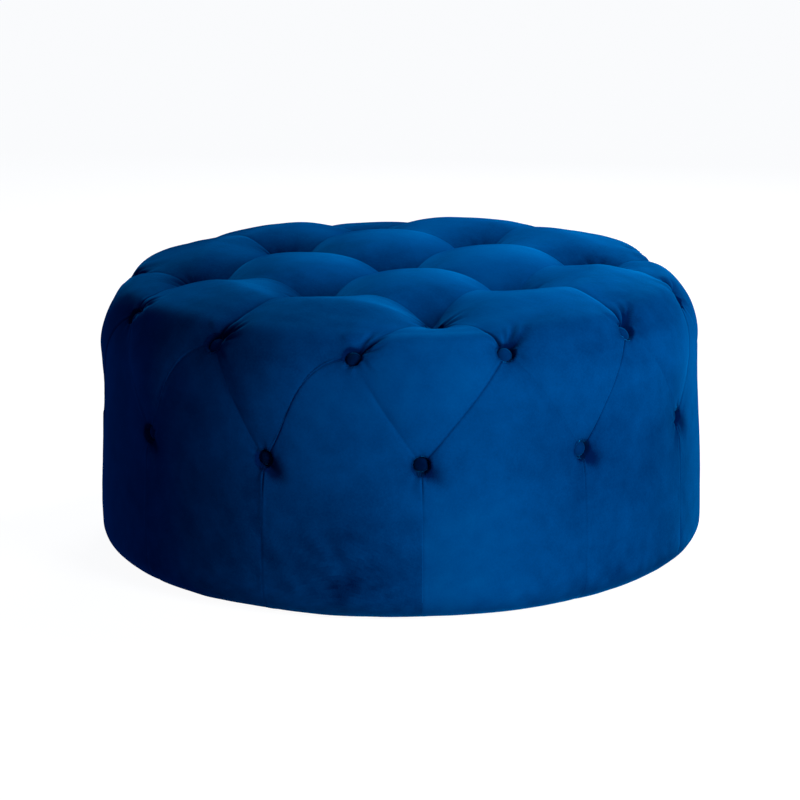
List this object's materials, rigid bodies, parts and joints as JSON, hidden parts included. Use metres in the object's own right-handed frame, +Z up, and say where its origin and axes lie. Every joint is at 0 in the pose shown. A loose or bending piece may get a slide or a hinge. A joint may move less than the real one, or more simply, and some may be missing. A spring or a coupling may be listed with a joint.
{
  "type": "round tufted storage ottoman",
  "caption": "Round deep-buttoned velvet ottoman on low hidden glides, with a square tufted hatch in the top that lifts out over a lined storage well.",
  "frame": {"origin": "on the floor, under the centre of the round plan", "axes": "+Z up; X and Y along the sides of the square hatch; the picture looks from azimuth 36 degrees, between +X and -Y"},
  "size_m": [0.8599, 0.86, 0.402],
  "materials": {
    "plywood": "sanded, unfinished",
    "softwood": "planed, unfinished",
    "liner_cloth": "non-woven cloth",
    "foam": "cut upholstery foam",
    "wadding": "polyester wadding",
    "velvet": "short-pile velvet",
    "button_velvet": "short-pile velvet over a shell",
    "twine": "waxed twine",
    "glide_plastic": "moulded",
    "steel": "zinc plated"
  },
  "bodies": {
    "base": {"base_board": "plywood", "deck_ring": "plywood", "well_wall_front": "plywood", "well_wall_back": "plywood", "well_wall_left": "plywood", "well_wall_right": "plywood", "wall_panel": "plywood", "post_1": "softwood", "post_2": "softwood", "post_3": "softwood", "post_4": "softwood", "post_5": "softwood", "post_6": "softwood", "post_7": "softwood", "post_8": "softwood", "well_liner": "liner_cloth", "dust_cover": "liner_cloth", "side_foam_1": "foam", "side_foam_2": "foam", "side_foam_3": "foam", "side_foam_4": "foam", "rim_foam_1": "foam", "rim_foam_2": "foam", "rim_foam_3": "foam", "rim_foam_4": "foam", "base_wadding": "wadding", "base_cover": "velvet", "side_buttons": "button_velvet", "rim_buttons": "button_velvet", "top_buttons": "button_velvet", "side_button_ties": "twine", "rim_button_ties": "twine", "top_button_ties": "twine", "glides": "glide_plastic", "glide_screws": "steel", "base_screws": "steel", "deck_screws": "steel", "well_screws": "steel", "dust_cover_staples": "steel"},
    "lid": {"lid_board": "plywood", "lid_cleat_front": "softwood", "lid_cleat_back": "softwood", "lid_cleat_left": "softwood", "lid_cleat_right": "softwood", "lid_backing": "liner_cloth", "lid_foam": "foam", "lid_wadding": "wadding", "lid_cover": "velvet", "lid_pull_tab": "velvet", "lid_button": "button_velvet", "lid_button_tie": "twine", "lid_cleat_screws": "steel", "lid_staples": "steel"}
  },
  "joints": [
    {"name": "lid_lift", "type": "slide", "parent": "base", "child": "lid", "axis": [0, 0, 1], "range_m": [0, 0.4]}
  ]
}
